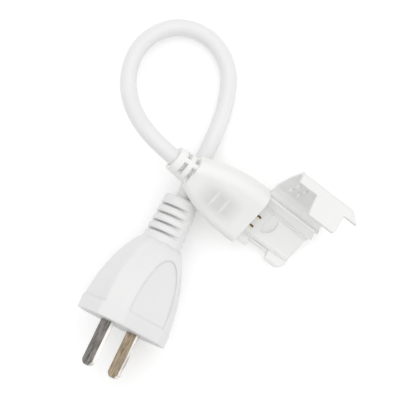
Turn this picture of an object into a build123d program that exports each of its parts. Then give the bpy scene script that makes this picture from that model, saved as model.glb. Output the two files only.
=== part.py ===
from build123d import *
from math import atan2, cos, degrees, pi, radians, sin, tan
import os

os.makedirs("parts", exist_ok=True)

# All sizes are in millimetres and degrees.

# Plug: x runs forward along the blades, z is square to the broad face, the front face lies at x = 0.
FLANGE_HALF_WIDTH = 16.8
FLANGE_HALF_HEIGHT = 12.1
FLANGE_THICKNESS = 5.4
FLANGE_SLANT_RUN = 7.5
FLANGE_SLANT_DROP = 5.625
FLANGE_STEP = 0.85
FLANGE_TOP_STEP = 0.05
FLANGE_EDGE = 0.4
SECTION_CORNER = 1.5
GRIP_END = 33.2
GRIP_TAPER = 1.7
GRIP_STATIONS = (0, 0.06, 0.2, 0.4, 0.6, 0.75, 0.87, 0.95, 1)
NECK_RADIUS = 7.5
PANEL_START = 5.8
PANEL_LENGTH = 22.6
PANEL_HALF_WIDTH = 8.5
PANEL_DEPTH = 0.3
RELIEF_END = 51.2
RELIEF_END_RADIUS = 6.4
RELIEF_ROUND = 1.2
NECK_LAP = 1.0
NECK_STEP = 0.05
GROOVE_FIRST = 36.7
GROOVE_PITCH = 3.37
GROOVE_WIDTH = 0.7
GROOVE_DEPTH = 2.2
GROOVE_ROUND = 0.75
GROOVE_COUNT = 4
SPINE_PROUD = 0.1
SPINE_TURN = 23.0

BLADE_SPACING = 12.7
BLADE_WIDTH = 6.35
BLADE_THICKNESS = 1.5
BLADE_REACH = 17.4
BLADE_TIP = 1.6
BLADE_TIP_BEVEL = 0.5
BLADE_TAIL = 9.5
TAIL_WIDTH = 3.0
CRIMP_START = 13.0
CRIMP_LENGTH = 5.0
CRIMP_RADIUS = 1.5
CRIMP_STOP = 1.0
CARRIER_FRONT = 3.0
CARRIER_LENGTH = 5.0
CARRIER_WIDTH = 22.0
CARRIER_HEIGHT = 9.0
CARRIER_CORNER = 1.0

# Cable
CABLE_DIAMETER = 6.0
CABLE_EMBED = 8.0
CORE_DIAMETER = 2.4
CORE_OFFSET = 1.3
CORE_BEND = 4.0
CORE_STRAIGHT = 10.0
CORE_RUN_IN = 4.0
STRAND_DIAMETER = 1.2

# Connector: x runs forward, y towards the hinge, the front face of the housing lies at x = 0.
HOUSING_LENGTH = 27.4
HOUSING_HALF_WIDTH = 11.3
HOUSING_HALF_HEIGHT = 6.3
NOSE_HALF_WIDTH = 5.8
NOSE_HALF_HEIGHT = 5.3
HOUSING_CORNER = 4.0
HOUSING_SHIFT = 0.7
HOUSING_STATIONS = (0, 0.2, 0.4, 0.6, 0.8, 1)
CLAMP_LENGTH = 8.0
COLLAR_RADIUS = 4.7
NOSE_RADIUS = 5.4
COLLAR_LENGTH = 3.0
SLOT_WIDTH = 1.5
RING_WIDTH = 1.9
WEB_WIDTH = 1.8

PIN_DIAMETER = 1.6
PIN_SPACING = 4.4
PIN_HEIGHT = 0.7
PIN_REACH = 3.4
PIN_TIP = 0.4
PIN_TAIL_STOP = 4.0
PIN_TAIL_DIAMETER = 2.2
PIN_SOCKET = 3.0
BLOCK_FRONT = 7.0
BLOCK_REAR_GAP = 6.0
BLOCK_WIDTH = 9.4
BLOCK_HEIGHT = 5.4
BLOCK_SHIFT = -0.8
BLOCK_GROOVE = 0.8
BLOCK_GROOVE_DEPTH = 0.3
BLOCK_GROOVE_PITCH = 4.6

# Clip
WALL = 1.1
FLOOR_TOP = -2.8
FLOOR_THICKNESS = 1.3
FLOOR_HALF_REAR = 6.75
FLOOR_HALF_FRONT = 5.75
FLOOR_LENGTH = 22.5
HINGE_FOOT_REACH = 1.4
RIB_HEIGHT = 1.0
RIB_THICKNESS = 0.6
WALL_FOOT = 0.9
WALL_FOOT_RISE = 0.4
LATCH_WALL_Y = -9.4
LATCH_WALL_Z = 0.6
LATCH_WALL_ROUND = 2.5
HINGE_Y = 10.2
HINGE_Z = -0.6
BEAD_RADIUS = 0.5
HINGE_WEB = 0.5
HINGE_CLEARANCE = 0.1
NOTCH_START = 5.8
NOTCH_LENGTH = 8.8
NOTCH_FLOOR = -2.4
NOTCH_SIDE = 6.6
WINDOW_START = 6.8
WINDOW_REACH = 4.4
WINDOW_HALF_WIDTH = 4.5
WINDOW_SHIFT = 1.2
WINDOW_CORNER = 1.3
ANCHOR_DEPTH = 3.0
ANCHOR_HALF_WIDTH = 5.5

LID_START = 0.8
LID_LENGTH = 23.0
LID_HEIGHT = 6.05
LID_ROUND = 2.0
LID_LIP = 1.4
LIP_LEAN = 54.8
LID_CHEEK = 1.75
LID_SHOULDER = 1.5
LID_SHOULDER_DROP = 0.5
LID_LATCH_DROP = 1.2
LID_LATCH_LEAN = 0.2
LID_BAR_BOTTOM = -0.2
LID_BAR_TOP = 3.5
LID_BAR_SLANT = 3.0
LATCH_FACE = -10.3
TONGUE_START = 8.6
TONGUE_WIDTH = 12.6
TONGUE_TAPER = 0.5
TONGUE_END = -8.4
TONGUE_CORNER = 0.8
CATCH_START = 9.8
CATCH_LENGTH = 4.2
CATCH_HEIGHT = 1.0
CATCH_DEPTH = 0.8
PEG_DIAMETER = 1.5
PEG_TIP = 2.9
PEG_ROUND = 0.6
PEG_PITCH_X = 3.4
PEG_PITCH_Y = 5.0
PEG_X = 6.3
PEG_Y = 1.3
LID_OPEN = 137.5

# How the pieces lie on the floor
PLUG_NOSE_UP = 8.4
PLUG_YAW = -78.9
PLUG_FACE_X = 5.18
PLUG_FACE_Y = -53.56
CONNECTOR_PITCH = 14.5
CONNECTOR_ROLL = 20.0
CONNECTOR_FRONT_X = 18.4
CONNECTOR_FRONT_Y = 5.70
CABLE_LEAVES_PLUG = 8.0
CABLE_LEAVES_CLAMP = 7.2
CABLE_CORNERS = (
    (-8.69, 19.96, 5.4),
    (-12.49, 33.3, 3.6),
    (-19.72, 45.42, 3.05),
    (-32.57, 50.49, 3.05),
    (-45.52, 45.78, 3.4),
    (-51.5, 33.38, 5.2),
    (-47.89, 20.01, 9.2),
    (-38.19, 10.9, 14.6),
)


def octagon(half_width, half_height, broad, narrow):
    """Corners of an eight-sided section with two broad faces and two narrow sides."""
    quarter = [(broad, half_height), (half_width, narrow)]
    right = quarter + [(y, -z) for y, z in reversed(quarter)]
    return right + [(-y, z) for y, z in reversed(right)]


def grip_height(share):
    """Half height of the plug's grip, at a share of the way from the flange to the neck."""
    first_height = FLANGE_HALF_HEIGHT - FLANGE_TOP_STEP
    return NECK_RADIUS + (first_height - GRIP_TAPER * share - NECK_RADIUS) * (1 - share**12) ** 0.5


def grip_section(share):
    """Corners of the plug's grip, at a share of the way from the flange to the neck."""
    neck_side = NECK_RADIUS * tan(pi / 8)
    first_width = FLANGE_HALF_WIDTH - FLANGE_STEP
    first_height = grip_height(0)
    slant = atan2(FLANGE_SLANT_DROP, FLANGE_SLANT_RUN)
    flange_reach = (FLANGE_HALF_WIDTH - FLANGE_SLANT_RUN) * sin(slant) + FLANGE_HALF_HEIGHT * cos(slant)
    reach = flange_reach - FLANGE_TOP_STEP
    first_broad = (reach - first_height * cos(slant)) / sin(slant)
    first_narrow = (reach - first_width * sin(slant)) / cos(slant)
    width = NECK_RADIUS + (first_width - NECK_RADIUS) * (1 - share**2.2) ** 0.85
    broad = neck_side + (first_broad - neck_side) * (1 - share**2)
    narrow = first_narrow + (neck_side - first_narrow) * share
    return octagon(width, grip_height(share), broad, narrow)


# Plug blades, each with a narrow tail and a crimp barrel
blade_y = BLADE_SPACING / 2
with BuildPart() as blade_right:
    with BuildSketch(Plane.XZ.offset(-blade_y - BLADE_THICKNESS / 2)):
        with BuildLine():
            Polyline(
                (BLADE_REACH, -BLADE_WIDTH / 2 + BLADE_TIP),
                (BLADE_REACH, BLADE_WIDTH / 2 - BLADE_TIP),
                (BLADE_REACH - BLADE_TIP, BLADE_WIDTH / 2),
                (-BLADE_TAIL, BLADE_WIDTH / 2),
                (-BLADE_TAIL, TAIL_WIDTH / 2),
                (-CRIMP_START, TAIL_WIDTH / 2),
                (-CRIMP_START, -TAIL_WIDTH / 2),
                (-BLADE_TAIL, -TAIL_WIDTH / 2),
                (-BLADE_TAIL, -BLADE_WIDTH / 2),
                (BLADE_REACH - BLADE_TIP, -BLADE_WIDTH / 2),
                close=True,
            )
        make_face()
    extrude(amount=BLADE_THICKNESS)
    chamfer(blade_right.faces().sort_by(Axis.X)[-1].edges().filter_by(Axis.Z), BLADE_TIP_BEVEL)
    with BuildSketch(Plane.YZ.offset(-CRIMP_START)):
        with Locations((blade_y, 0)):
            Circle(CRIMP_RADIUS)
    extrude(amount=-CRIMP_LENGTH)
    with BuildSketch(Plane.YZ.offset(-CRIMP_START - CRIMP_LENGTH)):
        with Locations((blade_y, 0)):
            Circle(STRAND_DIAMETER / 2)
    extrude(amount=CRIMP_LENGTH - CRIMP_STOP, mode=Mode.SUBTRACT)

with BuildPart() as blade_left:
    mirror(blade_right.part, about=Plane.XZ)

# Bridge that spaces the blades
with BuildPart() as blade_carrier:
    with BuildSketch(Plane.YZ.offset(-CARRIER_FRONT)):
        RectangleRounded(CARRIER_WIDTH, CARRIER_HEIGHT, CARRIER_CORNER)
        with GridLocations(BLADE_SPACING, 0, 2, 1):
            Rectangle(BLADE_THICKNESS, BLADE_WIDTH, mode=Mode.SUBTRACT)
    extrude(amount=-CARRIER_LENGTH)

# Insulated cores in the plug, and the bare strands that sit in the crimps
crimp_end = CRIMP_START + CRIMP_LENGTH
plug_sheath_end = -RELIEF_END + CABLE_EMBED
with BuildPart() as plug_core_right:
    with BuildLine():
        plug_route = [
            (plug_sheath_end, CORE_OFFSET),
            (plug_sheath_end + CORE_STRAIGHT, CORE_OFFSET),
            (-crimp_end - CORE_RUN_IN, blade_y),
            (-crimp_end, blade_y),
        ]
        FilletPolyline(*plug_route, radius=CORE_BEND)
    with BuildSketch(Plane.YZ.offset(plug_sheath_end)):
        with Locations((CORE_OFFSET, 0)):
            Circle(CORE_DIAMETER / 2)
    sweep()

with BuildPart() as plug_core_left:
    mirror(plug_core_right.part, about=Plane.XZ)

with BuildPart() as plug_strand_right:
    with BuildSketch(Plane.YZ.offset(-crimp_end)):
        with Locations((blade_y, 0)):
            Circle(STRAND_DIAMETER / 2)
    extrude(amount=CRIMP_LENGTH - CRIMP_STOP)

with BuildPart() as plug_strand_left:
    mirror(plug_strand_right.part, about=Plane.XZ)

# Plug moulding: flange, domed grip with a bare panel on each broad face, ringed strain relief
plug_inside = [blade_right, blade_left, blade_carrier, plug_core_right, plug_core_left]
plug_inside += [plug_strand_right, plug_strand_left]
grip_length = GRIP_END - FLANGE_THICKNESS
relief_taper = (NECK_RADIUS - RELIEF_END_RADIUS) / (RELIEF_END - GRIP_END)


def relief_groove(ring):
    """Cutter for one groove of the relief: a round-lipped ring that runs out at the two spines."""
    groove_x = -GROOVE_FIRST - ring * GROOVE_PITCH
    groove_radius = NECK_RADIUS + relief_taper * (groove_x + GRIP_END)
    lip_foot = groove_radius - GROOVE_ROUND
    half_slot = GROOVE_WIDTH / 2
    half_mouth = half_slot + GROOVE_ROUND
    with BuildPart() as groove:
        with BuildSketch(Plane.XY):
            with BuildLine():
                Polyline(
                    (groove_x - half_slot, lip_foot),
                    (groove_x - half_slot, groove_radius - 2 * GROOVE_DEPTH),
                    (groove_x + half_slot, groove_radius - 2 * GROOVE_DEPTH),
                    (groove_x + half_slot, lip_foot),
                )
                TangentArc(
                    (groove_x + half_slot, lip_foot), (groove_x + half_mouth, groove_radius), tangent=(0, 1)
                )
                Polyline(
                    (groove_x + half_mouth, groove_radius),
                    (groove_x + half_mouth, groove_radius + GROOVE_DEPTH),
                    (groove_x - half_mouth, groove_radius + GROOVE_DEPTH),
                    (groove_x - half_mouth, groove_radius),
                )
                TangentArc(
                    (groove_x - half_mouth, groove_radius), (groove_x - half_slot, lip_foot), tangent=(1, 0)
                )
            make_face()
        revolve(axis=Axis.X)
        with BuildSketch(Plane.YZ.offset(groove_x - 2 * half_mouth)):
            Ellipse(groove_radius - GROOVE_DEPTH, groove_radius + SPINE_PROUD, rotation=-SPINE_TURN)
        extrude(amount=4 * half_mouth, mode=Mode.SUBTRACT)
    return groove.part


relief_grooves = [relief_groove(ring) for ring in range(GROOVE_COUNT)]
with BuildPart() as plug_body:
    with BuildSketch(Plane.YZ.offset(-FLANGE_THICKNESS)) as flange_section:
        with BuildLine():
            flange_broad = FLANGE_HALF_WIDTH - FLANGE_SLANT_RUN
            flange_narrow = FLANGE_HALF_HEIGHT - FLANGE_SLANT_DROP
            flange_corners = octagon(FLANGE_HALF_WIDTH, FLANGE_HALF_HEIGHT, flange_broad, flange_narrow)
            Polyline(*flange_corners, close=True)
        make_face()
        fillet(flange_section.vertices(), SECTION_CORNER)
    extrude(amount=FLANGE_THICKNESS)
    fillet(plug_body.faces().filter_by(Axis.X).edges(), FLANGE_EDGE)
    for share in GRIP_STATIONS:
        station_x = -FLANGE_THICKNESS + FLANGE_EDGE - share * (grip_length + FLANGE_EDGE)
        with BuildSketch(Plane.YZ.offset(station_x)) as station:
            with BuildLine():
                Polyline(*grip_section(share), close=True)
            make_face()
            fillet(station.vertices(), SECTION_CORNER)
    loft()
    with BuildSketch(Plane.XY) as relief_profile:
        with BuildLine():
            Polyline(
                (-GRIP_END + NECK_LAP, 0),
                (-GRIP_END + NECK_LAP, NECK_RADIUS + NECK_LAP * relief_taper - NECK_STEP),
                (-RELIEF_END, RELIEF_END_RADIUS),
                (-RELIEF_END, 0),
                close=True,
            )
        make_face()
        fillet(relief_profile.vertices().sort_by(Axis.X)[:2].sort_by(Axis.Y)[-1], RELIEF_ROUND)
    revolve(axis=Axis.X)
    for groove in relief_grooves:
        add(groove, mode=Mode.SUBTRACT)
    panel_foot = grip_height((PANEL_START - FLANGE_THICKNESS) / grip_length) - PANEL_DEPTH
    panel_tip = grip_height((PANEL_START + PANEL_LENGTH - FLANGE_THICKNESS) / grip_length) - PANEL_DEPTH
    for face_side in (1, -1):
        panel_plane = Plane(
            origin=(-PANEL_START, 0, face_side * panel_foot),
            x_dir=(-PANEL_LENGTH, 0, face_side * (panel_tip - panel_foot)),
            z_dir=(panel_tip - panel_foot, 0, face_side * PANEL_LENGTH),
        )
        with BuildSketch(panel_plane) as panel:
            with BuildLine():
                arch = EllipticalCenterArc(
                    (0, 0), PANEL_LENGTH, PANEL_HALF_WIDTH, start_angle=-90, arc_size=180
                )
                Line(arch @ 1, arch @ 0)
            make_face()
        extrude(amount=FLANGE_HALF_HEIGHT, mode=Mode.SUBTRACT)
    with BuildSketch(Plane.YZ.offset(-RELIEF_END)):
        Circle(CABLE_DIAMETER / 2)
    extrude(amount=CABLE_EMBED, mode=Mode.SUBTRACT)
    for piece in plug_inside:
        add(piece.part, mode=Mode.SUBTRACT)

# Contact pins, with a rear socket for the strand
pin_y = PIN_SPACING / 2
block_rear = HOUSING_LENGTH - BLOCK_REAR_GAP
pin_tail = block_rear - PIN_TAIL_STOP
with BuildPart() as contact_pin_hinge_side:
    with BuildSketch(Plane.YZ.offset(-pin_tail)):
        with Locations((pin_y, PIN_HEIGHT)):
            Circle(PIN_TAIL_DIAMETER / 2)
    extrude(amount=pin_tail)
    with BuildSketch(Plane.YZ):
        with Locations((pin_y, PIN_HEIGHT)):
            Circle(PIN_DIAMETER / 2)
    extrude(amount=PIN_REACH)
    fillet(contact_pin_hinge_side.faces().sort_by(Axis.X)[-1].edges(), PIN_TIP)
    with BuildSketch(Plane.YZ.offset(-pin_tail)):
        with Locations((pin_y, PIN_HEIGHT)):
            Circle(STRAND_DIAMETER / 2)
    extrude(amount=PIN_SOCKET, mode=Mode.SUBTRACT)

with BuildPart() as contact_pin_latch_side:
    mirror(contact_pin_hinge_side.part, about=Plane.XZ)

with BuildPart() as connector_strand_hinge_side:
    with BuildSketch(Plane.YZ.offset(-block_rear)):
        with Locations((pin_y, PIN_HEIGHT)):
            Circle(STRAND_DIAMETER / 2)
    extrude(amount=PIN_TAIL_STOP + PIN_SOCKET)

with BuildPart() as connector_strand_latch_side:
    mirror(connector_strand_hinge_side.part, about=Plane.XZ)

# Ribbed block that holds the pins
with BuildPart() as contact_block:
    with BuildSketch(Plane.YZ.offset(-BLOCK_FRONT)):
        with Locations((BLOCK_SHIFT, PIN_HEIGHT)):
            Rectangle(BLOCK_WIDTH, BLOCK_HEIGHT)
    extrude(amount=BLOCK_FRONT - block_rear)
    for step in (-0.5, 0.5):
        rib_x = -(BLOCK_FRONT + block_rear) / 2 + step * BLOCK_GROOVE_PITCH
        with BuildSketch(Plane.YZ.offset(rib_x - BLOCK_GROOVE / 2)):
            with Locations((BLOCK_SHIFT, PIN_HEIGHT)):
                Rectangle(2 * BLOCK_WIDTH, 2 * BLOCK_HEIGHT)
                waist = 2 * BLOCK_GROOVE_DEPTH
                Rectangle(BLOCK_WIDTH - waist, BLOCK_HEIGHT - waist, mode=Mode.SUBTRACT)
        extrude(amount=BLOCK_GROOVE, mode=Mode.SUBTRACT)
    for piece in (contact_pin_hinge_side, contact_pin_latch_side):
        add(piece.part, mode=Mode.SUBTRACT)
    for piece in (connector_strand_hinge_side, connector_strand_latch_side):
        add(piece.part, mode=Mode.SUBTRACT)

# Insulated cores in the connector, from the shifted clamp to the pins
core_start = -HOUSING_LENGTH - CLAMP_LENGTH + CABLE_EMBED
core_end = -block_rear
core_bend = (core_end - core_start) / 3


def connector_core(side):
    """Corners of the core that leads to the pin on one side."""
    sheath_y = HOUSING_SHIFT + side * CORE_OFFSET
    first = [(core_start, sheath_y, 0), (core_start + core_bend, sheath_y, 0)]
    return first + [(core_end - core_bend, side * pin_y, PIN_HEIGHT), (core_end, side * pin_y, PIN_HEIGHT)]


with BuildPart() as connector_core_hinge_side:
    with BuildLine():
        FilletPolyline(*connector_core(1), radius=CORE_DIAMETER)
    with BuildSketch(Plane.YZ.offset(core_start)):
        with Locations((HOUSING_SHIFT + CORE_OFFSET, 0)):
            Circle(CORE_DIAMETER / 2)
    sweep()

with BuildPart() as connector_core_latch_side:
    with BuildLine():
        FilletPolyline(*connector_core(-1), radius=CORE_DIAMETER)
    with BuildSketch(Plane.YZ.offset(core_start)):
        with Locations((HOUSING_SHIFT - CORE_OFFSET, 0)):
            Circle(CORE_DIAMETER / 2)
    sweep()


def tray_section(half):
    """Corners of the tray's section, for a floor of the given half-width."""
    web_run, web_rise = HINGE_Y - FLOOR_HALF_REAR, HINGE_Z - FLOOR_TOP
    web_length = (web_run**2 + web_rise**2) ** 0.5
    along_y, along_z = web_run / web_length, web_rise / web_length
    end_y = HINGE_Y - along_y * BEAD_RADIUS / 2
    end_z = HINGE_Z - along_z * BEAD_RADIUS / 2
    foot = FLOOR_TOP + WALL_FOOT_RISE
    rib_top = FLOOR_TOP + RIB_HEIGHT
    bottom = FLOOR_TOP - FLOOR_THICKNESS
    inner = half - RIB_THICKNESS
    latch = [(LATCH_WALL_Y, LATCH_WALL_Z), (LATCH_WALL_Y + WALL, LATCH_WALL_Z), (-half, foot)]
    latch += [(-half, rib_top), (-inner, rib_top), (-inner, FLOOR_TOP)]
    hinge = [(inner, FLOOR_TOP), (inner, rib_top), (half, rib_top), (half, foot)]
    hinge += [(end_y - along_z * HINGE_WEB / 2, end_z + along_y * HINGE_WEB / 2)]
    hinge += [(end_y + along_z * HINGE_WEB / 2, end_z - along_y * HINGE_WEB / 2)]
    return latch + hinge + [(half + WALL_FOOT, bottom), (-half - WALL_FOOT, bottom)]


# Tray of the clip: floor with a half-moon window, two flared walls, hinge bead, latch notch, anchor
tray_length = FLOOR_LENGTH + HINGE_FOOT_REACH
with BuildPart() as clip_tray:
    for tray_x, tray_half in ((0, FLOOR_HALF_REAR), (tray_length, FLOOR_HALF_FRONT)):
        with BuildSketch(Plane.YZ.offset(tray_x)):
            with BuildLine():
                Polyline(*tray_section(tray_half), close=True)
            make_face()
    loft(ruled=True)
    with BuildSketch(Plane.YZ):
        with Locations((HINGE_Y, HINGE_Z)):
            Circle(BEAD_RADIUS)
    extrude(amount=FLOOR_LENGTH)
    with BuildSketch(Plane.XY) as front_trim:
        with BuildLine():
            clear_y = 2 * HOUSING_HALF_WIDTH
            Polyline(
                (FLOOR_LENGTH - LATCH_WALL_ROUND, -clear_y),
                (FLOOR_LENGTH - LATCH_WALL_ROUND, LATCH_WALL_Y),
                (FLOOR_LENGTH, LATCH_WALL_Y + LATCH_WALL_ROUND),
                (FLOOR_LENGTH, FLOOR_HALF_FRONT),
                (tray_length, FLOOR_HALF_FRONT + WALL_FOOT),
                (FLOOR_LENGTH - BEAD_RADIUS, HINGE_Y + BEAD_RADIUS),
                (FLOOR_LENGTH - BEAD_RADIUS, clear_y),
                (tray_length + WALL, clear_y),
                (tray_length + WALL, -clear_y),
                close=True,
            )
        make_face()
    extrude(amount=HOUSING_HALF_HEIGHT, both=True, mode=Mode.SUBTRACT)
    with BuildSketch(Plane.XY.offset(NOTCH_FLOOR)):
        with Locations((NOTCH_START, -NOTCH_SIDE)):
            Rectangle(NOTCH_LENGTH, HOUSING_HALF_WIDTH, align=(Align.MIN, Align.MAX))
    extrude(amount=HOUSING_HALF_HEIGHT, mode=Mode.SUBTRACT)
    with BuildSketch(Plane.XY) as window:
        with BuildLine():
            moon = EllipticalCenterArc(
                (WINDOW_START, WINDOW_SHIFT), WINDOW_REACH, WINDOW_HALF_WIDTH, start_angle=-90, arc_size=180
            )
            Line(moon @ 1, moon @ 0)
        make_face()
        fillet(window.vertices(), WINDOW_CORNER)
    extrude(amount=-HOUSING_HALF_HEIGHT, mode=Mode.SUBTRACT)
    with BuildSketch(Plane.YZ):
        with Locations((0, FLOOR_TOP - FLOOR_THICKNESS / 2)):
            Rectangle(2 * ANCHOR_HALF_WIDTH, FLOOR_THICKNESS)
    extrude(amount=-ANCHOR_DEPTH)

# Housing moulding: swelling body and a slotted strain relief that shows the cable
housing_inside = [contact_pin_hinge_side, contact_pin_latch_side, contact_block]
housing_inside += [connector_core_hinge_side, connector_core_latch_side]
housing_inside += [connector_strand_hinge_side, connector_strand_latch_side, clip_tray]
clamp_end = -HOUSING_LENGTH - CLAMP_LENGTH
with BuildPart() as connector_housing:
    for share in HOUSING_STATIONS:
        swell = 1 - (1 - share) ** 2.4
        half_width = NOSE_HALF_WIDTH + (HOUSING_HALF_WIDTH - NOSE_HALF_WIDTH) * swell
        half_height = NOSE_HALF_HEIGHT + (HOUSING_HALF_HEIGHT - NOSE_HALF_HEIGHT) * swell
        with BuildSketch(Plane.YZ.offset((share - 1) * HOUSING_LENGTH)):
            with Locations((HOUSING_SHIFT, 0)):
                RectangleRounded(2 * half_width, 2 * half_height, HOUSING_CORNER)
    loft()
    with BuildSketch(Plane.XY):
        with BuildLine():
            Polyline(
                (clamp_end, HOUSING_SHIFT),
                (clamp_end, HOUSING_SHIFT + COLLAR_RADIUS),
                (-HOUSING_LENGTH + NECK_LAP, HOUSING_SHIFT + NOSE_RADIUS),
                (-HOUSING_LENGTH + NECK_LAP, HOUSING_SHIFT),
                close=True,
            )
        make_face()
    revolve(axis=Axis((0, HOUSING_SHIFT, 0), (1, 0, 0)))
    for slot_x in (clamp_end + COLLAR_LENGTH, clamp_end + COLLAR_LENGTH + SLOT_WIDTH + RING_WIDTH):
        with BuildSketch(Plane.YZ.offset(slot_x)):
            with Locations((HOUSING_SHIFT, 0)):
                Circle(2 * NOSE_RADIUS)
                Rectangle(WEB_WIDTH, 5 * NOSE_RADIUS, rotation=45, mode=Mode.SUBTRACT)
                Rectangle(WEB_WIDTH, 5 * NOSE_RADIUS, rotation=-45, mode=Mode.SUBTRACT)
        extrude(amount=SLOT_WIDTH, mode=Mode.SUBTRACT)
    with BuildSketch(Plane.YZ.offset(clamp_end)):
        with Locations((HOUSING_SHIFT, 0)):
            Circle(CABLE_DIAMETER / 2)
    extrude(amount=CABLE_EMBED, mode=Mode.SUBTRACT)
    for piece in housing_inside:
        add(piece.part, mode=Mode.SUBTRACT)

# Lid of the clip, drawn shut: hinge lip, crowned plate with pegs, T-shaped latch wall with a catch
lid_wall_y = LATCH_FACE - WALL / 2
lip_y, lip_z = cos(radians(LIP_LEAN)), sin(radians(LIP_LEAN))
lip_start = (HINGE_Y + lip_y * BEAD_RADIUS, HINGE_Z + lip_z * BEAD_RADIUS)
lip_end = (HINGE_Y + lip_y * LID_LIP, HINGE_Z + lip_z * LID_LIP)
crown = HINGE_Z + LID_HEIGHT
with BuildPart() as clip_lid:
    with BuildSketch(Plane.YZ.offset(LID_START)):
        with BuildLine():
            lid_line = [
                lip_end,
                (HINGE_Y + LID_CHEEK, HINGE_Z + LID_HEIGHT / 2),
                (HINGE_Y - LID_SHOULDER, crown - LID_SHOULDER_DROP),
                (0, crown),
                (lid_wall_y - LID_LATCH_LEAN, crown - LID_LATCH_DROP),
                (lid_wall_y, LID_BAR_BOTTOM),
            ]
            FilletPolyline(*lid_line, radius=(LID_ROUND, LID_ROUND, 10 * LID_ROUND, LID_ROUND))
        trace(line_width=WALL)
        with BuildLine():
            Line(lip_start, (2 * lip_end[0] - lip_start[0], 2 * lip_end[1] - lip_start[1]))
        trace(line_width=HINGE_WEB)
    extrude(amount=LID_LENGTH)
    lid_front = LID_START + LID_LENGTH
    with BuildSketch(Plane.XZ.offset(-LATCH_FACE)) as latch_wall:
        with BuildLine():
            Polyline(
                (LID_START, LID_BAR_TOP),
                (lid_front, LID_BAR_TOP),
                (lid_front + LID_BAR_SLANT, LID_BAR_BOTTOM),
                (TONGUE_START + TONGUE_WIDTH, LID_BAR_BOTTOM),
                (TONGUE_START + TONGUE_WIDTH - TONGUE_TAPER, TONGUE_END),
                (TONGUE_START + TONGUE_TAPER, TONGUE_END),
                (TONGUE_START, LID_BAR_BOTTOM),
                (LID_START, LID_BAR_BOTTOM),
                close=True,
            )
        make_face()
        fillet(latch_wall.vertices().group_by(Axis.Y)[0], TONGUE_CORNER)
    extrude(amount=WALL)
    with BuildSketch(Plane.YZ.offset(CATCH_START)):
        with BuildLine():
            Polyline(
                (LATCH_FACE, TONGUE_END + TONGUE_CORNER),
                (LATCH_FACE, TONGUE_END + TONGUE_CORNER + CATCH_HEIGHT),
                (LATCH_FACE + CATCH_DEPTH, TONGUE_END + TONGUE_CORNER + CATCH_HEIGHT),
                close=True,
            )
        make_face()
    extrude(amount=CATCH_LENGTH)
    with BuildSketch(Plane.XY.offset(PEG_TIP)):
        with Locations((PEG_X, PEG_Y)):
            with GridLocations(PEG_PITCH_X, PEG_PITCH_Y, 2, 2):
                Circle(PEG_DIAMETER / 2)
    extrude(amount=crown - WALL / 2 - PEG_TIP)
    peg_circles = clip_lid.edges().filter_by(GeomType.CIRCLE)
    peg_tips = peg_circles.filter_by_position(Axis.Z, PEG_TIP - HINGE_CLEARANCE, PEG_TIP + HINGE_CLEARANCE)
    fillet(peg_tips, PEG_ROUND)
    with BuildSketch(Plane.YZ):
        with Locations((HINGE_Y, HINGE_Z)):
            Circle(BEAD_RADIUS + HINGE_CLEARANCE)
    extrude(amount=2 * LID_LENGTH, mode=Mode.SUBTRACT)

# Places: each assembly is lifted until its lowest point touches the floor
plug_roll = degrees(atan2(FLANGE_SLANT_DROP, FLANGE_SLANT_RUN))
plug_turn = Rot(0, 0, PLUG_YAW) * Rot(0, -PLUG_NOSE_UP, 0) * Rot(-plug_roll, 0, 0)
plug_lift = -plug_body.part.moved(plug_turn).bounding_box().min.Z
plug_place = Pos(PLUG_FACE_X, PLUG_FACE_Y, plug_lift) * plug_turn
connector_turn = Rot(0, CONNECTOR_PITCH, 0) * Rot(CONNECTOR_ROLL, 0, 0)
connector_lift = -clip_tray.part.moved(connector_turn).bounding_box().min.Z
connector_place = Pos(CONNECTOR_FRONT_X, CONNECTOR_FRONT_Y, connector_lift) * connector_turn
lid_swing = Pos(0, HINGE_Y, HINGE_Z) * Rot(-LID_OPEN, 0, 0) * Pos(0, -HINGE_Y, -HINGE_Z)

# The origin lies on the floor under the middle of the connector
boxes = [piece.part.moved(connector_place).bounding_box() for piece in (connector_housing, clip_tray)]
boxes += [clip_lid.part.moved(connector_place * lid_swing).bounding_box()]
middle_x = (min(box.min.X for box in boxes) + max(box.max.X for box in boxes)) / 2
middle_y = (min(box.min.Y for box in boxes) + max(box.max.Y for box in boxes)) / 2
plug_place = Pos(-middle_x, -middle_y, 0) * plug_place
connector_place = Pos(-middle_x, -middle_y, 0) * connector_place
lid_place = connector_place * lid_swing

# Cable: one loop from inside the plug's relief to inside the connector's clamp
cable_route = [(plug_place * Pos(plug_sheath_end, 0, 0)).position]
cable_route += [(plug_place * Pos(-RELIEF_END - CABLE_LEAVES_PLUG, 0, 0)).position]
cable_route += [Vector(x - middle_x, y - middle_y, z) for x, y, z in CABLE_CORNERS]
cable_route += [(connector_place * Pos(clamp_end - CABLE_LEAVES_CLAMP, HOUSING_SHIFT, 0)).position]
cable_route += [(connector_place * Pos(clamp_end + CABLE_EMBED, HOUSING_SHIFT, 0)).position]
cable_radii = []
for before, corner, after in zip(cable_route, cable_route[1:], cable_route[2:]):
    shorter = min((corner - before).length, (after - corner).length)
    turn = radians((corner - before).get_angle(after - corner))
    cable_radii.append(0.45 * shorter / tan(turn / 2))
print("cord radii", [round(radius, 1) for radius in cable_radii])
print("cord corners", [tuple(round(value, 2) for value in corner) for corner in cable_route])
with BuildPart() as cable:
    with BuildLine() as cable_path:
        FilletPolyline(*cable_route, radius=cable_radii)
    with BuildSketch(Plane(origin=cable_route[0], z_dir=cable_route[1] - cable_route[0])):
        Circle(CABLE_DIAMETER / 2)
    sweep()
print("cord length", round(cable_path.wires()[0].length, 1), "volume", round(cable.part.volume, 1))

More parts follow.
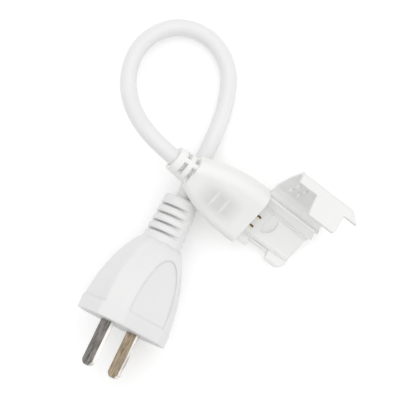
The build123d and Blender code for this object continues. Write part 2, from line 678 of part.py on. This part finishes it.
# Every piece goes to its place and is written out
plug_pieces = {
    "plug_body": plug_body,
    "blade_left": blade_left,
    "blade_right": blade_right,
    "blade_carrier": blade_carrier,
    "plug_core_left": plug_core_left,
    "plug_core_right": plug_core_right,
    "plug_strand_left": plug_strand_left,
    "plug_strand_right": plug_strand_right,
}
connector_pieces = {
    "connector_housing": connector_housing,
    "contact_block": contact_block,
    "contact_pin_hinge_side": contact_pin_hinge_side,
    "contact_pin_latch_side": contact_pin_latch_side,
    "connector_core_hinge_side": connector_core_hinge_side,
    "connector_core_latch_side": connector_core_latch_side,
    "connector_strand_hinge_side": connector_strand_hinge_side,
    "connector_strand_latch_side": connector_strand_latch_side,
    "clip_tray": clip_tray,
}
groups = [(plug_place, plug_pieces), (connector_place, connector_pieces)]
groups += [(lid_place, {"clip_lid": clip_lid}), (Pos(0, 0, 0), {"cable": cable})]
for place, pieces in groups:
    for label, piece in pieces.items():
        placed = piece.part.moved(place)
        placed.label = label
        export_step(placed, f"parts/{label}.step")
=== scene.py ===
import math

import bpy
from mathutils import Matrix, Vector


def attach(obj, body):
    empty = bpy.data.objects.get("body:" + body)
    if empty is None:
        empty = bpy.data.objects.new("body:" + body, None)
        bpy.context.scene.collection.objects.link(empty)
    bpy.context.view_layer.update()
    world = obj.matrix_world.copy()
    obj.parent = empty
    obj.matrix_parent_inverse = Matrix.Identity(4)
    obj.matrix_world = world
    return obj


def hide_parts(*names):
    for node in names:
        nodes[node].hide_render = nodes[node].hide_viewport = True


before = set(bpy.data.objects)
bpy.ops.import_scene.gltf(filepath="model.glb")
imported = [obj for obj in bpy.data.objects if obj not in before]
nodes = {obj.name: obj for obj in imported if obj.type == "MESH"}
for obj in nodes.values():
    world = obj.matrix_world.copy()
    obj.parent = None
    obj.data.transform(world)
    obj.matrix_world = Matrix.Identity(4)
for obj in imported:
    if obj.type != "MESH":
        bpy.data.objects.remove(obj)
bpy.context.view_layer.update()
scene = bpy.context.scene

# All lengths are in metres, except the cable's route, which repeats part.py's points in millimetres.
MILLIMETRES = 1000

# The camera looks straight down, turned so that the connector runs from upper left to lower right.
VIEW_TURN = math.radians(36.87)
VIEW_CENTRE = Vector((-0.015905, -0.012234, 0.0))
VIEW_HEIGHT = 0.6
VIEW_WIDTH = 0.14706
VIEW_NEAR = 0.01
SENSOR = 36.0
RIGHT = Vector((math.cos(VIEW_TURN), math.sin(VIEW_TURN), 0.0))
UP = Vector((-math.sin(VIEW_TURN), math.cos(VIEW_TURN), 0.0))

camera_data = bpy.data.cameras.new("camera")
camera_data.sensor_width = SENSOR
camera_data.lens = SENSOR * VIEW_HEIGHT / VIEW_WIDTH
camera_data.clip_start = VIEW_NEAR
camera = bpy.data.objects.new("camera", camera_data)
camera.location = VIEW_CENTRE + Vector((0, 0, VIEW_HEIGHT))
camera.rotation_euler = (0, 0, VIEW_TURN)
scene.collection.objects.link(camera)
scene.camera = camera
scene.view_settings.view_transform = "Standard"

# Most of a noise texture's values lie between these two.
NOISE_LOW = 0.3
NOISE_HIGH = 0.7
BEVEL_SAMPLES = 6


class Nodes:
    """A small helper that adds shader nodes to one material."""

    def __init__(self, name):
        self.material = bpy.data.materials.new(name)
        self.material.use_nodes = True
        self.tree = self.material.node_tree
        self.tree.nodes.clear()
        self.out = self.tree.nodes.new("ShaderNodeOutputMaterial")

    def put(self, socket, value):
        """Links a socket, or sets a number or colour."""
        if isinstance(value, bpy.types.NodeSocket):
            self.tree.links.new(value, socket)
        else:
            socket.default_value = value

    def add(self, kind, **inputs):
        """A node with its inputs given by name, with _ for each space."""
        node = self.tree.nodes.new(kind)
        for name, value in inputs.items():
            self.put(node.inputs[name.replace("_", " ")], value)
        return node

    def maths(self, operation, *values):
        node = self.tree.nodes.new("ShaderNodeMath")
        node.operation = operation
        for socket, value in zip(node.inputs, values):
            self.put(socket, value)
        return node.outputs[0]

    def coords(self, output):
        """The part's own coordinates (Object) or the surface's direction in them (Normal)."""
        return self.tree.nodes.new("ShaderNodeTexCoord").outputs[output]

    def placed(self, middle=(0, 0, 0), turn=(0, 0, 0), size=(1, 1, 1)):
        """Coordinates in a moved, turned and drawn-out frame."""
        node = self.add("ShaderNodeMapping", Vector=self.coords("Object"))
        node.vector_type = "TEXTURE"
        for name, value in (("Location", middle), ("Rotation", turn), ("Scale", size)):
            node.inputs[name].default_value = value
        return node.outputs["Vector"]

    def noise(self, scale, detail=3.0, stretch=(1, 1, 1), turn=(0, 0, 0), roughness=0.5):
        """Noise in a turned frame, drawn out along its axes."""
        place = self.placed(turn=turn, size=stretch)
        node = self.add("ShaderNodeTexNoise", Vector=place, Scale=scale, Detail=detail, Roughness=roughness)
        return node.outputs["Fac"]

    def span(self, value, low, high, to_low=0, to_high=1):
        """Maps a value's range onto another, clamped."""
        limits = {"From_Min": low, "From_Max": high, "To_Min": to_low, "To_Max": to_high}
        return self.add("ShaderNodeMapRange", Value=value, **limits).outputs["Result"]

    def vary(self, noise, least, most):
        """Lets a value run between two limits with a noise."""
        return self.span(noise, NOISE_LOW, NOISE_HIGH, least, most)

    def mix(self, factor, first, second):
        """Mixes two colours; each is a colour or a socket."""
        node = self.tree.nodes.new("ShaderNodeMix")
        node.data_type = "RGBA"
        self.put(node.inputs[0], factor)
        colours = [socket for socket in node.inputs if socket.type == "RGBA"]
        for socket, value in zip(colours, (first, second)):
            self.put(socket, value)
        return [socket for socket in node.outputs if socket.type == "RGBA"][0]

    def bump(self, height, strength, distance, edge=None):
        """A bumped normal; edge is the radius to which sharp edges are softened first."""
        node = self.add("ShaderNodeBump", Strength=strength, Distance=distance, Height=height)
        if edge is not None:
            soft = self.add("ShaderNodeBevel", Radius=edge)
            soft.samples = BEVEL_SAMPLES
            self.put(node.inputs["Normal"], soft.outputs["Normal"])
        return node.outputs["Normal"]

    def facing(self, way):
        """How squarely the surface faces a direction of the frame: 1 square on, 0 edge on, -1 away."""
        node = self.tree.nodes.new("ShaderNodeVectorMath")
        node.operation = "DOT_PRODUCT"
        self.put(node.inputs[0], self.coords("Normal"))
        node.inputs[1].default_value = tuple(Vector(way).normalized())
        return node.outputs["Value"]

    def inside(self, middle, turn, half, soft):
        """1 in a turned box of the given half sizes in x and y, fading to 0 over a soft share of them."""
        axes = self.add("ShaderNodeSeparateXYZ", Vector=self.placed(middle, turn, half))
        away = [self.maths("ABSOLUTE", axes.outputs[axis]) for axis in ("X", "Y")]
        return self.maths("MULTIPLY", *(self.span(share, 1 - soft, 1 + soft, 1, 0) for share in away))

    def shader(self, **inputs):
        node = self.add("ShaderNodeBsdfPrincipled", **inputs)
        self.tree.links.new(node.outputs["BSDF"], self.out.inputs["Surface"])
        return self.material


# Each pair of colours below is the range that a material's clouding or staining runs over.

# White PVC of the plug: satin, with a fine mould grain and slight clouding, and painted shade on the front
# face
PLUG_FORWARD = (0.191, -0.971, 0.146)
FRONT_FROM, FRONT_FULL = 0.8, 0.95
PVC_WHITES = (0.80, 0.80, 0.80, 1), (0.84, 0.84, 0.835, 1)
PVC_FRONT_SHADE = (0.64, 0.635, 0.63, 1), (0.69, 0.685, 0.68, 1)

kit = Nodes("white_pvc")
cloud = kit.noise(scale=90, detail=2)
# painted shade: the face turned along the plug's forward axis is painted darker
front = kit.span(kit.facing(PLUG_FORWARD), FRONT_FROM, FRONT_FULL)
white_pvc = kit.shader(
    Base_Color=kit.mix(front, kit.mix(cloud, *PVC_WHITES), kit.mix(cloud, *PVC_FRONT_SHADE)),
    Roughness=kit.vary(kit.noise(scale=700, detail=4), least=0.34, most=0.46),
    IOR=1.5,
    Subsurface_Weight=0.3, Subsurface_Radius=(1, 1, 1), Subsurface_Scale=0.0012,
    Normal=kit.bump(kit.noise(scale=5200, detail=2), strength=0.12, distance=0.00006, edge=0.0009),
)

# Cable sheath: smoother and glossier, with faint waves from drawing
SHEATH_WHITES = (0.82, 0.82, 0.82, 1), (0.86, 0.86, 0.86, 1)

kit = Nodes("cable_sheath")
cable_sheath = kit.shader(
    Base_Color=kit.mix(kit.noise(scale=60, detail=2), *SHEATH_WHITES),
    Roughness=kit.vary(kit.noise(scale=900), least=0.3, most=0.4),
    IOR=1.5,
    Normal=kit.bump(kit.noise(scale=380), strength=0.1, distance=0.0002),
)

# Frosted housing: warm white moulding, with painted shade where the ribbed block inside shows through: a
# soft grey patch crossed by two lighter lines
HOUSING_WHITES = (0.945, 0.945, 0.92, 1), (0.975, 0.975, 0.95, 1)
BLOCK_SHADE_GREYS = (0.74, 0.74, 0.72, 1), (0.8, 0.8, 0.78, 1)
BLOCK_MIDDLE = Vector((-0.0112, -0.0072, 0.0155))
BLOCK_TURN = (math.radians(20), math.radians(14.5), 0)
BLOCK_HALF = (0.0066, 0.0044, 1.0)
BLOCK_SOFT = 0.5
SHADE_BREAK_COLOUR = (0.89, 0.89, 0.87, 1)
RIB_WAY = Vector((0.968, 0, -0.25))
RIB_STEP = 0.0023
RIB_HALF = (0.00045, 0.0036, 1.0)
RIB_SOFT = 0.7

kit = Nodes("frosted_housing")
# painted shade: a soft grey patch over the inner block, with two painted lighter lines across it
colour = kit.mix(
    kit.inside(BLOCK_MIDDLE, BLOCK_TURN, BLOCK_HALF, BLOCK_SOFT),
    kit.mix(kit.noise(scale=110), *HOUSING_WHITES),
    kit.mix(kit.noise(scale=260), *BLOCK_SHADE_GREYS),
)
for side in (-1, 1):
    rib_middle = BLOCK_MIDDLE + side * RIB_STEP * RIB_WAY
    colour = kit.mix(kit.inside(rib_middle, BLOCK_TURN, RIB_HALF, RIB_SOFT), colour, SHADE_BREAK_COLOUR)
frosted_housing = kit.shader(
    Base_Color=colour,
    Roughness=kit.vary(kit.noise(scale=500), least=0.42, most=0.52),
    IOR=1.3, Transmission_Weight=0.05,
    Subsurface_Weight=0.2, Subsurface_Radius=(1, 1, 0.97), Subsurface_Scale=0.0015,
    Normal=kit.bump(kit.noise(scale=2600), strength=0.12, distance=0.0001, edge=0.0004),
)

# Clip: frosted polypropylene with flow marks, which lets a little of what is behind it through
TRAY_WHITES = (0.965, 0.965, 0.955, 1), (0.985, 0.985, 0.975, 1)
LID_WHITES = (0.915, 0.915, 0.905, 1), (0.94, 0.94, 0.93, 1)
TRAY_COVER = 0.94
LID_COVER = 0.92


def clip_plastic(name, whites, cover):
    made = Nodes(name)
    flow = made.noise(scale=420, stretch=(3, 1, 1))
    return made.shader(
        Base_Color=made.mix(made.noise(scale=130), *whites),
        Roughness=made.vary(made.noise(scale=800), least=0.3, most=0.42),
        IOR=1.45, Alpha=cover,
        Coat_Weight=0.3, Coat_Roughness=0.3,
        Normal=made.bump(flow, strength=0.12, distance=0.0002, edge=0.00045),
    )


# Nickel-plated blades: dull stained broad faces, a painted highlight on the edges, the metal browner on one
# blade
PLUG_TURN = (math.radians(-36.87), math.radians(-8.4), math.radians(-78.9))
BLADE_EDGE_WAY = (0.566, 0.23, 0.791)
EDGE_FROM, EDGE_FULL = 0.5, 0.7
STAIN_FROM, STAIN_FULL = 0.32, 0.64
STREAK_FROM, STREAK_FULL = 0.38, 0.56
EDGE_HIGHLIGHT_METALS = (0.4, 0.38, 0.35, 1), (0.84, 0.82, 0.79, 1)
GREY_METALS = (0.06, 0.056, 0.052, 1), (0.32, 0.3, 0.28, 1)
BROWN_METALS = (0.15, 0.12, 0.09, 1), (0.5, 0.4, 0.28, 1)


def blade_metal(name, metals):
    made = Nodes(name)
    brush = made.noise(scale=3200, stretch=(40, 1, 1), turn=PLUG_TURN)
    stain = made.noise(scale=1100, detail=6, stretch=(4, 1, 1), turn=PLUG_TURN, roughness=0.7)
    streak = made.noise(scale=900, stretch=(12, 1, 1), turn=PLUG_TURN)
    broad = made.mix(made.span(stain, STAIN_FROM, STAIN_FULL), *metals)
    # painted highlight: the edge faces are painted much lighter than the broad faces
    edge_highlight = made.mix(made.span(streak, STREAK_FROM, STREAK_FULL), *EDGE_HIGHLIGHT_METALS)
    edge = made.maths("ABSOLUTE", made.facing(BLADE_EDGE_WAY))
    return made.shader(
        Base_Color=made.mix(made.span(edge, EDGE_FROM, EDGE_FULL), broad, edge_highlight),
        Metallic=1.0,
        Roughness=made.vary(brush, least=0.24, most=0.38),
        Normal=made.bump(brush, strength=0.1, distance=0.00003, edge=0.00012),
    )


# Brass contact pins: painted shade on one side, a painted highlight on the other, with fine rings from
# turning
PIN_HIGHLIGHT_WAY = (0, -1, 0)
PIN_HIGHLIGHT_FROM, PIN_HIGHLIGHT_FULL = -0.05, 0.2
PIN_HIGHLIGHT = (0.92, 0.87, 0.76, 1)
PIN_SHADE_BROWNS = (0.12, 0.075, 0.03, 1), (0.25, 0.16, 0.07, 1)

kit = Nodes("brass_pin")
rings = kit.noise(scale=3000, detail=2, stretch=(1, 8, 8))
# painted light: one side of each pin is painted as a bright highlight, the rest as dark shade
highlight_side = kit.span(kit.facing(PIN_HIGHLIGHT_WAY), PIN_HIGHLIGHT_FROM, PIN_HIGHLIGHT_FULL)
brass_pin = kit.shader(
    Base_Color=kit.mix(highlight_side, kit.mix(kit.noise(scale=900), *PIN_SHADE_BROWNS), PIN_HIGHLIGHT),
    Metallic=1.0,
    Roughness=kit.vary(rings, least=0.2, most=0.34),
    Normal=kit.bump(rings, strength=0.1, distance=0.00004),
)

# Inner pieces: two close colours, a fine grain, and a roughness that varies a little
INNER_ROUGHNESS_SWING = 0.06
BLOCK_PLASTICS = (0.42, 0.42, 0.4, 1), (0.5, 0.5, 0.48, 1)
CARRIER_PLASTICS = (0.72, 0.72, 0.7, 1), (0.78, 0.78, 0.76, 1)
BROWN_CORES = (0.16, 0.08, 0.05, 1), (0.22, 0.11, 0.06, 1)
BLUE_CORES = (0.06, 0.13, 0.34, 1), (0.09, 0.18, 0.42, 1)
COPPERS = (0.6, 0.32, 0.2, 1), (0.74, 0.42, 0.28, 1)


def plain(name, colours, roughness, metallic=0.0):
    made = Nodes(name)
    least, most = roughness - INNER_ROUGHNESS_SWING, roughness + INNER_ROUGHNESS_SWING
    return made.shader(
        Base_Color=made.mix(made.noise(scale=300), *colours),
        Metallic=metallic,
        Roughness=made.vary(made.noise(scale=700), least, most),
        Normal=made.bump(made.noise(scale=2500, detail=2), strength=0.15, distance=0.0001),
    )


def dress(material, *names):
    """Gives CAD nodes their material."""
    for name in names:
        nodes[name].data.materials.clear()
        nodes[name].data.materials.append(material)


dress(white_pvc, "plug_body")
dress(blade_metal("nickel_grey", GREY_METALS), "blade_left")
dress(blade_metal("nickel_brown", BROWN_METALS), "blade_right")
dress(frosted_housing, "connector_housing")
dress(clip_plastic("frosted_tray", TRAY_WHITES, TRAY_COVER), "clip_tray")
dress(clip_plastic("frosted_lid", LID_WHITES, LID_COVER), "clip_lid")
dress(brass_pin, "contact_pin_hinge_side", "contact_pin_latch_side")
dress(plain("block_plastic", BLOCK_PLASTICS, roughness=0.55), "contact_block")
dress(plain("carrier_plastic", CARRIER_PLASTICS, roughness=0.5), "blade_carrier")
dress(plain("brown_core", BROWN_CORES, roughness=0.4), "plug_core_left", "connector_core_hinge_side")
dress(plain("blue_core", BLUE_CORES, roughness=0.4), "plug_core_right", "connector_core_latch_side")
dress(
    plain("copper", COPPERS, roughness=0.35, metallic=1.0),
    "plug_strand_left", "plug_strand_right", "connector_strand_hinge_side", "connector_strand_latch_side",
)

# The cable: one smooth line from inside the plug to inside the clamp, with the route as its control points
CABLE_RADIUS = 0.003
CABLE_STEPS = 16
CABLE_ROUND_STEPS = 8
CABLE_ROUTE = (
    (-19.47, -23.78, 9.96),
    (-22.52, -8.25, 7.63),
    (-25.11, 7.8, 5.4),
    (-28.91, 21.14, 3.6),
    (-36.14, 33.26, 3.05),
    (-48.99, 38.33, 3.05),
    (-61.94, 33.62, 3.4),
    (-67.92, 21.22, 5.2),
    (-64.31, 7.85, 9.2),
    (-54.61, -1.26, 14.6),
    (-39.2, -5.8, 22.48),
    (-24.49, -5.8, 18.68),
)

line = bpy.data.curves.new("cable_line", "CURVE")
line.dimensions = "3D"
line.resolution_u = CABLE_STEPS
line.bevel_depth = CABLE_RADIUS
line.bevel_resolution = CABLE_ROUND_STEPS
line.use_fill_caps = True
spline = line.splines.new("NURBS")
spline.points.add(len(CABLE_ROUTE) - 1)
for point, (x, y, z) in zip(spline.points, CABLE_ROUTE):
    point.co = (x / MILLIMETRES, y / MILLIMETRES, z / MILLIMETRES, 1)
spline.order_u = 3
spline.use_endpoint_u = True
line.materials.append(cable_sheath)
cable_piece = bpy.data.objects.new("cable_lead", line)
scene.collection.objects.link(cable_piece)
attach(cable_piece, "lead")
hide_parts("cable")

# Floor: lifted towards white for the camera, for metal and through clear plastic; it keeps the soft shadow
FLOOR_HALF = 2.0
FLOOR_DROP = 0.0001
FLOOR_LIFT = 0.2
FLOOR_ROUGHNESS = 0.9
FLOOR_WHITES = (0.9, 0.9, 0.9, 1), (0.92, 0.92, 0.92, 1)

kit = Nodes("floor_white")
path = kit.tree.nodes.new("ShaderNodeLightPath")
seen = kit.maths("MAXIMUM", path.outputs["Is Camera Ray"], path.outputs["Is Glossy Ray"])
seen = kit.maths("MAXIMUM", seen, path.outputs["Is Transmission Ray"])
floor_white = kit.shader(
    Base_Color=kit.mix(kit.noise(scale=8, detail=2), *FLOOR_WHITES),
    Roughness=FLOOR_ROUGHNESS, Specular_IOR_Level=0.0,
    Emission_Color=(1, 1, 1, 1), Emission_Strength=kit.maths("MULTIPLY", seen, FLOOR_LIFT),
)
floor_mesh = bpy.data.meshes.new("floor")
corner_signs = ((-1, -1), (1, -1), (1, 1), (-1, 1))
floor_corners = [(x * FLOOR_HALF, y * FLOOR_HALF, -FLOOR_DROP) for x, y in corner_signs]
floor_mesh.from_pydata(floor_corners, [], [(0, 1, 2, 3)])
floor_mesh.materials.append(floor_white)
floor = bpy.data.objects.new("floor", floor_mesh)
scene.collection.objects.link(floor)

# Light: a white room, brightest overhead and dimmest towards the bottom of the picture, and two soft lamps
ROOM_MIDDLE = 0.45
ROOM_SLOPE = 0.2 * UP - 0.04 * RIGHT + Vector((0, 0, 0.68))

world = bpy.data.worlds.new("room")
world.use_nodes = True
room = world.node_tree
sky = room.nodes["Background"]
sky.inputs["Color"].default_value = (1, 1, 1, 1)
way = room.nodes.new("ShaderNodeTexCoord")
towards = room.nodes.new("ShaderNodeVectorMath")
towards.operation = "DOT_PRODUCT"
towards.inputs[1].default_value = ROOM_SLOPE
strength = room.nodes.new("ShaderNodeMapRange")
strength.inputs["From Min"].default_value = -1.0
strength.inputs["To Min"].default_value = ROOM_MIDDLE - 1.0
strength.inputs["To Max"].default_value = ROOM_MIDDLE + 1.0
room.links.new(way.outputs["Generated"], towards.inputs[0])
room.links.new(towards.outputs["Value"], strength.inputs["Value"])
room.links.new(strength.outputs["Result"], sky.inputs["Strength"])
scene.world = world


def lamp(name, right, up, height, size, power):
    """A square soft lamp that points at the middle of the view."""
    data = bpy.data.lights.new(name, "AREA")
    data.size = size
    data.energy = power
    item = bpy.data.objects.new(name, data)
    item.location = VIEW_CENTRE + RIGHT * right + UP * up + Vector((0, 0, height))
    item.rotation_mode = "QUATERNION"
    item.rotation_quaternion = (VIEW_CENTRE - item.location).to_track_quat("-Z", "Y")
    scene.collection.objects.link(item)


lamp("key", right=0.12, up=0.25, height=0.8, size=0.8, power=0.8)
lamp("side", right=0.56, up=-0.15, height=0.16, size=0.35, power=0.4)
